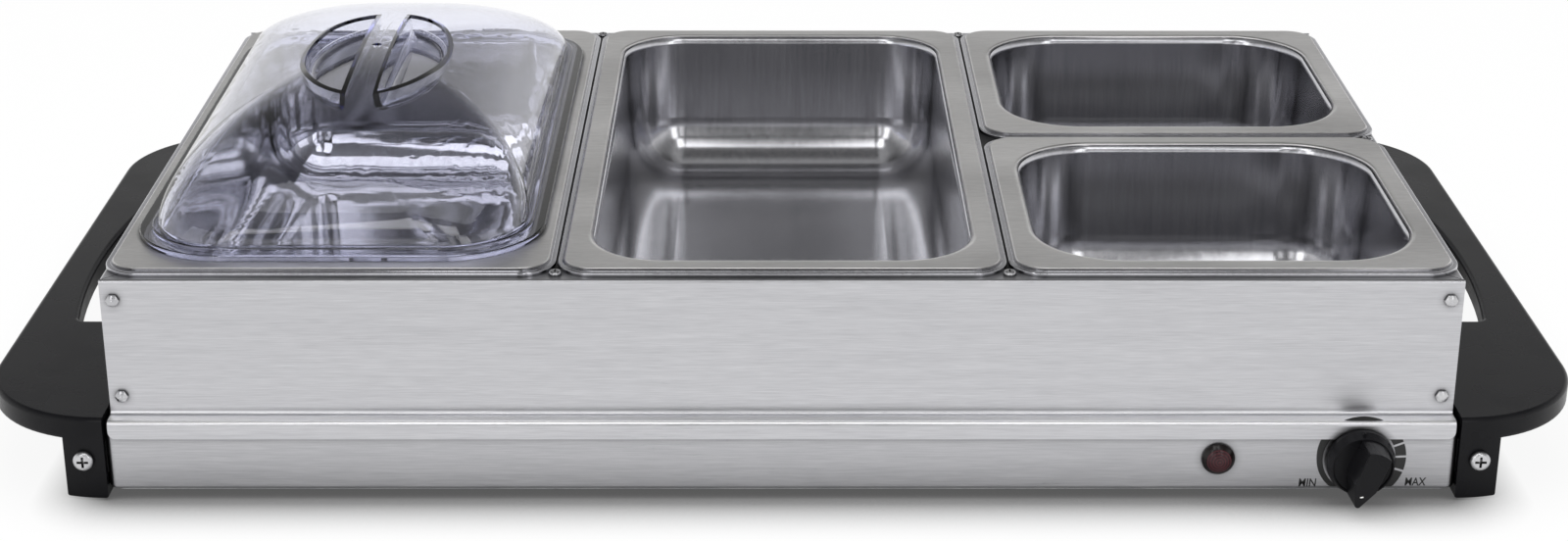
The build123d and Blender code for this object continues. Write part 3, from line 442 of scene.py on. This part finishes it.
def redLens(name, look):
    # dark rim around a field of moulded rings
    material, tree, shader = newMaterial(
        name, look["dark"], 0.0, look["roughness"], Specular_IOR_Level=look["specular"],
        Coat_Weight=look["coat"], Coat_Roughness=look["coatRoughness"])
    centred = addNode(tree, "ShaderNodeVectorMath", operation="SUBTRACT")
    feed(tree, surfacePlace(tree), centred.inputs[0])
    feed(tree, (look["axis"][0], 0, look["axis"][1]), centred.inputs[1])
    flat = addNode(tree, "ShaderNodeVectorMath", operation="MULTIPLY")
    feed(tree, centred.outputs[0], flat.inputs[0])
    feed(tree, (1, 0, 1), flat.inputs[1])
    radius = addNode(tree, "ShaderNodeVectorMath", operation="LENGTH")
    feed(tree, flat.outputs[0], radius.inputs[0])
    reach = radius.outputs["Value"]
    inside = spanNode(tree, reach, look["ringField"] + look["ringFade"], look["ringField"])
    wave = mathNode(tree, "SINE", mathNode(tree, "MULTIPLY", reach, 2 * pi / look["rings"]))
    rings = mathNode(tree, "MULTIPLY", spanNode(tree, wave, -1, 1), inside)
    cloud = useGroup(tree, mouldedSkin, Scale=look["cloudScale"])["Shade"]
    cloud = mathNode(tree, "ADD", mathNode(tree, "MULTIPLY", cloud, look["cloudShade"]), look["ringShade"])
    # the lighter and darker bands that follow the rings are painted light and shade of the ridges
    shade = weighNodes(tree, (inside, look["fieldShade"]), (rings, cloud))
    stops = [(0.0, look["rim"]), (look["fieldShade"], look["dark"]), (1.0, look["light"])]
    feed(tree, rampNode(tree, shade, stops), shader.inputs["Base Color"])
    bumpFrom(tree, shader, rings, look["ringDepth"], look["ringStrength"])
    return material


platedSkin = {"scale": 2500.0, "depth": 0.000008, "strength": 0.3}

platedLooks = {
    # painted shade: the dividers are made near black to darken the gaps between the pans
    "dividerSheet": {"dark": (0.035, 0.035, 0.037), "light": (0.075, 0.075, 0.078),
                     "smooth": 0.45, "dull": 0.6, "marksScale": 35.0},
    "wellSteel": {"dark": (0.50, 0.50, 0.50), "light": (0.55, 0.55, 0.545),
                  "smooth": 0.3, "dull": 0.35, "marksScale": 12.0},
    "zincSheet": {"dark": (0.42, 0.43, 0.45), "light": (0.58, 0.59, 0.60),
                  "smooth": 0.35, "dull": 0.5, "marksScale": 35.0},
    # the screws' crease values paint shade into their recesses
    "zincScrew": {"dark": (0.44, 0.44, 0.46), "light": (0.60, 0.60, 0.61),
                  "smooth": 0.2, "dull": 0.32, "marksScale": 60.0, "crease": (0.0016, 3.0)},
    "aluminiumSheet": {"dark": (0.66, 0.66, 0.68), "light": (0.78, 0.78, 0.79),
                       "smooth": 0.3, "dull": 0.45, "marksScale": 25.0},
    "sheathSteel": {"dark": (0.20, 0.19, 0.18), "light": (0.34, 0.32, 0.30),
                    "smooth": 0.4, "dull": 0.6, "marksScale": 80.0},
}


def platedMetal(name, dark, light, smooth, dull, marksScale, crease=None, skin=platedSkin):
    material, tree, shader = newMaterial(name, dark, 1.0, smooth)
    marks = useGroup(tree, handlingMarks, Scale=marksScale)
    varyColour(tree, shader, marks["Mask"], dark, light, crease)
    varyRoughness(tree, shader, marks["Mask"], smooth, dull)
    pebble = useGroup(tree, mouldedSkin, Scale=skin["scale"])
    bumpFrom(tree, shader, pebble["Height"], skin["depth"], skin["strength"])
    return material


mouldedLooks = {
    "ceramicBody": {"dark": (0.70, 0.67, 0.60), "light": (0.80, 0.78, 0.72), "roughness": 0.7},
    "woolBoard": {"dark": (0.50, 0.46, 0.34), "light": (0.66, 0.62, 0.50), "roughness": 0.95,
                  "scale": 320.0, "depth": 0.0004},
    "whiteMoulding": {"dark": (0.74, 0.74, 0.72), "light": (0.82, 0.82, 0.80), "roughness": 0.45},
    "blackRubber": {"dark": (0.010, 0.010, 0.010), "light": (0.022, 0.022, 0.022), "roughness": 0.75},
    "blackPrint": {"dark": (0.006, 0.006, 0.006), "light": (0.012, 0.012, 0.012), "roughness": 0.4},
}


def plainMoulding(name, dark, light, roughness, scale=700.0, depth=0.00003, strength=0.5):
    material, tree, shader = newMaterial(name, dark, 0.0, roughness)
    skin = useGroup(tree, mouldedSkin, Scale=scale)
    varyColour(tree, shader, skin["Shade"], dark, light)
    bumpFrom(tree, shader, skin["Height"], depth, strength)
    return material


finishes = {
    "pressedPan": pressedPan("pressedPan", panLook),
    "coveredPan": pressedPan("coveredPan", coveredLook),
    "blackMoulding": blackMoulding("blackMoulding", blackLook),
    "clearSheet": clearSheet("clearSheet", clearLook),
    "redLens": redLens("redLens", lensLook),
}
for make, looks in ((brushedSheet, brushedSheets), (platedMetal, platedLooks), (plainMoulding, mouldedLooks)):
    for name, settings in looks.items():
        finishes[name] = make(name, **settings)

nodeFinish = {
    "longGrain": ["frame_front_panel", "frame_rear_panel"],
    "baseGrain": ["base_housing"],
    "crossGrain": ["frame_right_panel", "frame_left_panel"],
    "pressedPan": ["pan_middle", "pan_right_front", "pan_right_rear"],
    "coveredPan": ["pan_left"],
    "wellSteel": ["warming_plate"],
    "zincSheet": ["bottom_cover", "handle_brackets"],
    "dividerSheet": ["divider_left", "divider_right", "divider_cross"],
    "zincScrew": ["cover_screws", "handle_screws", "frame_bolts", "frame_nuts", "divider_screws",
                  "divider_nuts", "thermostat_nut", "thermostat_shaft", "lamp_clip"],
    "blackMoulding": ["handle_right", "handle_left", "control_knob"],
    "clearSheet": ["lid"],
    "redLens": ["lamp_lens"],
    "aluminiumSheet": ["heat_spreader"],
    "sheathSteel": ["heating_element", "element_clamps"],
    "ceramicBody": ["thermostat", "terminal_block"],
    "woolBoard": ["insulation_board"],
    "whiteMoulding": ["indicator_lamp", "thermal_fuse"],
    "blackRubber": ["foot_pads", "cord_bushing"],
}


def dressNodes(plan):
    for finish, names in plan.items():
        for name in names:
            for slot in nodes[name].material_slots:
                slot.material = finishes[finish]


dressNodes(nodeFinish)
print("finishes assigned")


dial = {
    "axis": (0.2275, 0.0181),    # x and height of the knob
    "inner": 0.0143,
    # angle and radius of the band's outer edge, which widens towards the hot end
    "outer": [(240, 0.0162), (180, 0.0167), (150, 0.0176), (60, 0.0185), (-60, 0.0187)],
    "foot": -0.0123,             # level that cuts off both ends of the band
    "least": 0.00001,            # width of the band where the cut reaches its inner edge
    "gaps": [(60, 0.0006), (41, 0.0007), (21.5, 0.0009), (2.6, 0.0009), (-17.3, 0.0009)],
    "facet": 3, "fewest": 3,     # degrees to a facet, and the fewest facets of a block
    "film": 0.00003,
    # middle and size of each word, from the axis of the knob
    "words": [("MIN", (-0.0196, -0.0106), (0.0069, 0.0035)),
              ("MAX", (0.0232, -0.0102), (0.0083, 0.0035))],
    "slant": 0.06, "weight": 0.012, "letterDepth": 0.05,
}


def linkPiece(mesh, name, finish, body, slot):
    mesh.materials.clear()
    mesh.materials.append(finishes[finish])
    piece = bpy.data.objects.new(name, mesh)
    bpy.context.scene.collection.objects.link(piece)
    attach(piece, body)


def layFilm(shape, film, *piece):
    # thickens flat faces back to the surface that they are printed on
    back = bmesh.ops.extrude_face_region(shape, geom=shape.faces[:])
    moved = [each for each in back["geom"] if isinstance(each, bmesh.types.BMVert)]
    bmesh.ops.translate(shape, verts=moved, vec=(0, film, 0))
    bmesh.ops.recalc_face_normals(shape, faces=shape.faces[:])
    mesh = bpy.data.meshes.new(piece[0])
    shape.to_mesh(mesh)
    shape.free()
    linkPiece(mesh, *piece)


def reachAt(angle, stops):
    # outer radius of the band, between the nearest two stops
    for (high, first), (low, second) in zip(stops, stops[1:]):
        if high >= angle >= low:
            return first + (second - first) * (high - angle) / (high - low)
    return stops[-1][1]


def bandPoint(look, start, end, share, inner):
    # a gap is as wide at the inner edge of the band as at the outer one
    (startAngle, startGap), (endAngle, endGap) = start, end
    reach = look["inner"] if inner else look["outer"][-1][1]
    high = startAngle - degrees(startGap / 2 / reach)
    low = endAngle + degrees(endGap / 2 / reach)
    angle = high + (low - high) * share
    rise = sin(radians(angle))
    if not inner:
        reach = reachAt(angle, look["outer"])
        if reach * rise < look["foot"]:
            reach = max(look["foot"] / rise, look["inner"] + look["least"])
    return look["axis"][0] + reach * cos(radians(angle)), look["axis"][1] + reach * rise


def addDialBand(look, face):
    # one flat block of ink between each pair of gaps
    lowest = degrees(asin(look["foot"] / look["inner"]))
    edges = [(180 - lowest, 0)] + look["gaps"] + [(lowest, 0)]
    shape = bmesh.new()
    for start, end in zip(edges, edges[1:]):
        steps = max(look["fewest"], int((start[0] - end[0]) / look["facet"]))
        pairs = []
        for step in range(steps + 1):
            points = [bandPoint(look, start, end, step / steps, inner) for inner in (True, False)]
            pairs.append([shape.verts.new((x, face - look["film"], z)) for x, z in points])
        for (inA, outA), (inB, outB) in zip(pairs, pairs[1:]):
            shape.faces.new((inA, outA, outB, inB))
    layFilm(shape, look["film"], "dialBand", "blackPrint", "base", "black_plastic")


def addDialWord(word, middle, size, look, face):
    name = "dialWord" + word
    data = bpy.data.curves.new(name, "FONT")
    data.body = word
    data.size = 1.0
    data.shear = look["slant"]
    data.offset = look["weight"]
    data.extrude = look["letterDepth"]
    sample = bpy.data.objects.new("sample" + word, data)
    bpy.context.scene.collection.objects.link(sample)
    mesh = bpy.data.meshes.new_from_object(sample.evaluated_get(bpy.context.evaluated_depsgraph_get()))
    bpy.data.objects.remove(sample)
    bpy.data.curves.remove(data)
    low = [min(vert.co[axis] for vert in mesh.vertices) for axis in range(3)]
    high = [max(vert.co[axis] for vert in mesh.vertices) for axis in range(3)]
    for vert in mesh.vertices:
        share = [(vert.co[axis] - low[axis]) / (high[axis] - low[axis]) for axis in range(3)]
        vert.co = (look["axis"][0] + middle[0] + (share[0] - 0.5) * size[0],
                   face - look["film"] * share[2],
                   look["axis"][1] + middle[1] + (share[1] - 0.5) * size[1])
    mesh.name = name
    linkPiece(mesh, name, "blackPrint", "base", "black_plastic")


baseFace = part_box("base_housing")[0][1]
addDialBand(dial, baseFace)
for word, middle, size in dial["words"]:
    addDialWord(word, middle, size, dial, baseFace)

paleGripDash = {
    "middle": (-0.0001, -0.0072),   # across and along the grip, pointer downwards
    "length": 0.0014, "width": 0.0005,
    "tilt": 30,
    "restTurn": 20,                 # degrees clockwise past six o'clock
    "endSteps": 8,                  # facets of each round end
    "film": 0.00002,
}


def addPaleGripDash(look, axis, face):
    # rounded pale dash on the top of the grip
    half = (look["length"] - look["width"]) / 2
    outline = []
    for end in (1, -1):
        for step in range(look["endSteps"] + 1):
            angle = radians(180 * step / look["endSteps"] - 90 * end)
            outline.append((end * half + look["width"] / 2 * cos(angle), look["width"] / 2 * sin(angle)))
    tilt, turn = radians(look["tilt"]), radians(-look["restTurn"])
    shape = bmesh.new()
    verts = []
    for along, across in outline:
        x = look["middle"][0] + along * cos(tilt) - across * sin(tilt)
        z = look["middle"][1] + along * sin(tilt) + across * cos(tilt)
        verts.append(shape.verts.new((axis[0] + x * cos(turn) - z * sin(turn),
                                      face - look["film"],
                                      axis[1] + x * sin(turn) + z * cos(turn))))
    shape.faces.new(verts)
    layFilm(shape, look["film"], "paleGripDash", "whiteMoulding", "knob", "white_plastic")


addPaleGripDash(paleGripDash, dial["axis"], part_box("control_knob")[0][1])
print("dial printed")


white = (1, 1, 1, 1)

studio = {
    # sine of the elevation, then brightness, of the room behind, beside and ahead
    "behind": [(0.0, 1.0), (0.20, 1.0), (0.27, 0.80), (0.32, 0.58), (0.375, 0.40), (0.44, 0.19),
               (0.62, 0.06), (0.90, 0.06), (0.97, 0.35), (1.0, 0.45)],
    "beside": [(0.0, 1.0), (0.28, 1.0), (0.42, 0.75), (0.62, 0.35), (0.85, 0.10), (1.0, 0.07)],
    "ahead": [(0.0, 1.0), (0.10, 1.0), (0.20, 0.24), (0.55, 0.16), (0.75, 0.32), (1.0, 0.45)],
    # parts of the direction over which one side of the room passes into the next
    "frontSpan": (0.15, -0.15), "sideSpan": (0.35, 0.75),
    "middleGap": 0.22, "gapSpan": (0.06, 0.11),    # light left, and the width, where the camera stands
    "throughGlass": 0.55,                          # brightness added to what is seen through the lid
    "fill": (0.55, 0.85),                          # even light from the horizon and from overhead
}


def backgroundNode(tree, colour):
    node = addNode(tree, "ShaderNodeBackground")
    feed(tree, colour, node.inputs["Color"])
    return node.outputs[0]


def mixShaders(tree, *sources):
    # a factor and the two shaders that it chooses between
    node = addNode(tree, "ShaderNodeMixShader")
    for slot, source in enumerate(sources):
        feed(tree, source, node.inputs[slot])
    return node.outputs[0]


def buildWorld(look):
    # diffuse rays get an even fill; reflections see a white backdrop, a dark ceiling and a lit front
    world = bpy.data.worlds.new("studioWorld")
    bpy.context.scene.world = world
    world.use_nodes = True
    tree = world.node_tree
    tree.nodes.clear()
    axes = surfaceAxes(tree, "Generated")
    aside = mathNode(tree, "ABSOLUTE", axes["X"])
    centre = spanNode(tree, aside, *look["gapSpan"], look["middleGap"], 1.0)
    ahead = mixColours(tree, rampNode(tree, axes["Z"], look["ahead"]), centre, blend="MULTIPLY")
    room = mixColours(tree, rampNode(tree, axes["Z"], look["behind"]), ahead,
                      spanNode(tree, axes["Y"], *look["frontSpan"]))
    room = mixColours(tree, room, rampNode(tree, axes["Z"], look["beside"]),
                      spanNode(tree, aside, *look["sideSpan"]))
    rays = addNode(tree, "ShaderNodeLightPath").outputs
    straight = mathNode(tree, "LESS_THAN", rays["Glossy Depth"], 0.5)    # no mirror on the way
    straight = mathNode(tree, "MULTIPLY", straight, rays["Is Transmission Ray"])
    room = mixColours(tree, room, white, mathNode(tree, "MULTIPLY", straight, look["throughGlass"]))
    fill = spanNode(tree, axes["Z"], 0.0, 1.0, *look["fill"])
    mirrored = mathNode(tree, "MAXIMUM", rays["Is Glossy Ray"], rays["Is Transmission Ray"])
    around = mixShaders(tree, mirrored, backgroundNode(tree, fill), backgroundNode(tree, room))
    shown = mixShaders(tree, rays["Is Camera Ray"], around, backgroundNode(tree, white))
    feed(tree, shown, addNode(tree, "ShaderNodeOutputWorld").inputs["Surface"])


floorLook = {
    "size": 12.0, "tone": 0.90, "roughness": 0.6, "specular": 0.1,
    "outline": (0.262, 0.170, 0.0088),   # half sizes of the base, and its middle along y
    # metres from the outline over which the floor turns white: to the eye, then in reflections
    "shadowSpan": (0.006, 0.036), "mirrorSpan": (0.012, 0.15),
    "glow": (0.10, 0.93),                # share of white at the outline and far from it
    # reach and depth of the painted contact shadow near the object
    "crease": {"Reach": 0.045, "Depth": 2.2},
}


def pastEdge(tree, across, half):
    # distance outside a strip of that half width around zero
    beyond = mathNode(tree, "SUBTRACT", mathNode(tree, "ABSOLUTE", across), half)
    return mathNode(tree, "MAXIMUM", beyond, 0.0)


def buildFloor(look):
    # pale floor that keeps the soft shadow near the object, deepened by a painted contact shadow, and fades
    # to white further out
    half = look["size"] / 2
    mesh = bpy.data.meshes.new("studioFloor")
    mesh.from_pydata([(-half, -half, 0), (half, -half, 0), (half, half, 0), (-half, half, 0)],
                     [], [(0, 1, 2, 3)])
    floor = bpy.data.objects.new("studioFloor", mesh)
    bpy.context.scene.collection.objects.link(floor)
    material, tree, shader = newMaterial(
        "paleFloor", (look["tone"],) * 3, 0.0, look["roughness"], Specular_IOR_Level=look["specular"])
    # painted contact shadow: the floor's colour is darkened near the object
    shade = useGroup(tree, paintedCreaseShade, **look["crease"])["Shade"]
    feed(tree, mathNode(tree, "MULTIPLY", shade, look["tone"]), shader.inputs["Base Color"])
    axes = surfaceAxes(tree)
    halfX, halfY, middleY = look["outline"]
    outX = pastEdge(tree, axes["X"], halfX)
    outY = pastEdge(tree, mathNode(tree, "SUBTRACT", axes["Y"], middleY), halfY)
    away = mathNode(tree, "SQRT", weighNodes(tree, (outX, outX), (outY, outY)))
    rays = addNode(tree, "ShaderNodeLightPath").outputs
    seen = spanNode(tree, away, *look["shadowSpan"], *look["glow"])
    seen = mathNode(tree, "MULTIPLY", rays["Is Camera Ray"], seen)
    mirrored = mathNode(tree, "MAXIMUM", rays["Is Glossy Ray"], rays["Is Transmission Ray"])
    mirrored = mathNode(tree, "MULTIPLY", mirrored, spanNode(tree, away, *look["mirrorSpan"], *look["glow"]))
    glow = addNode(tree, "ShaderNodeEmission")
    glow.inputs["Color"].default_value = white
    surface = mixShaders(tree, mathNode(tree, "MAXIMUM", seen, mirrored), shader.outputs[0], glow.outputs[0])
    feed(tree, surface, tree.nodes["Material Output"].inputs["Surface"])
    mesh.materials.append(material)


softboxes = {
    # place on the right, width and height, watts on the left and on the right, shown in reflections
    "strip": ((0.20, -1.20, 0.47), (0.14, 0.70), (0.42, 0.40), True),
    "canopy": ((0.2175, -0.75, 1.05), (0.275, 0.50), (1.12, 1.05), True),
    "front": ((0.60, -1.20, 0.62), (0.30, 0.80), (1.8, 1.7), True),
    "side": ((1.20, -0.55, 0.55), (0.70, 0.80), (2.4, 2.2), False),
}
overhead = {"place": (0.0, 0.05, 1.35), "size": (1.20, 0.80), "power": 5.5, "shown": False}
lampTarget = (0, 0, 0.05)


def addSoftbox(name, place, size, power, shown):
    data = bpy.data.lights.new(name, "AREA")
    data.shape = "RECTANGLE"
    data.size, data.size_y = size
    data.energy = power
    lamp = bpy.data.objects.new(name, data)
    bpy.context.scene.collection.objects.link(lamp)
    lamp.visible_glossy = shown
    toward = Vector(lampTarget) - Vector(place)
    lamp.matrix_world = Matrix.Translation(place) @ toward.to_track_quat("-Z", "Y").to_matrix().to_4x4()


buildWorld(studio)
buildFloor(floorLook)
for name, ((x, y, z), size, powers, shown) in softboxes.items():
    for side, sign, power in zip(("Left", "Right"), (-1, 1), powers):
        addSoftbox(name + side, (sign * x, y, z), size, power, shown)
addSoftbox("overhead", **overhead)
print("studio built")
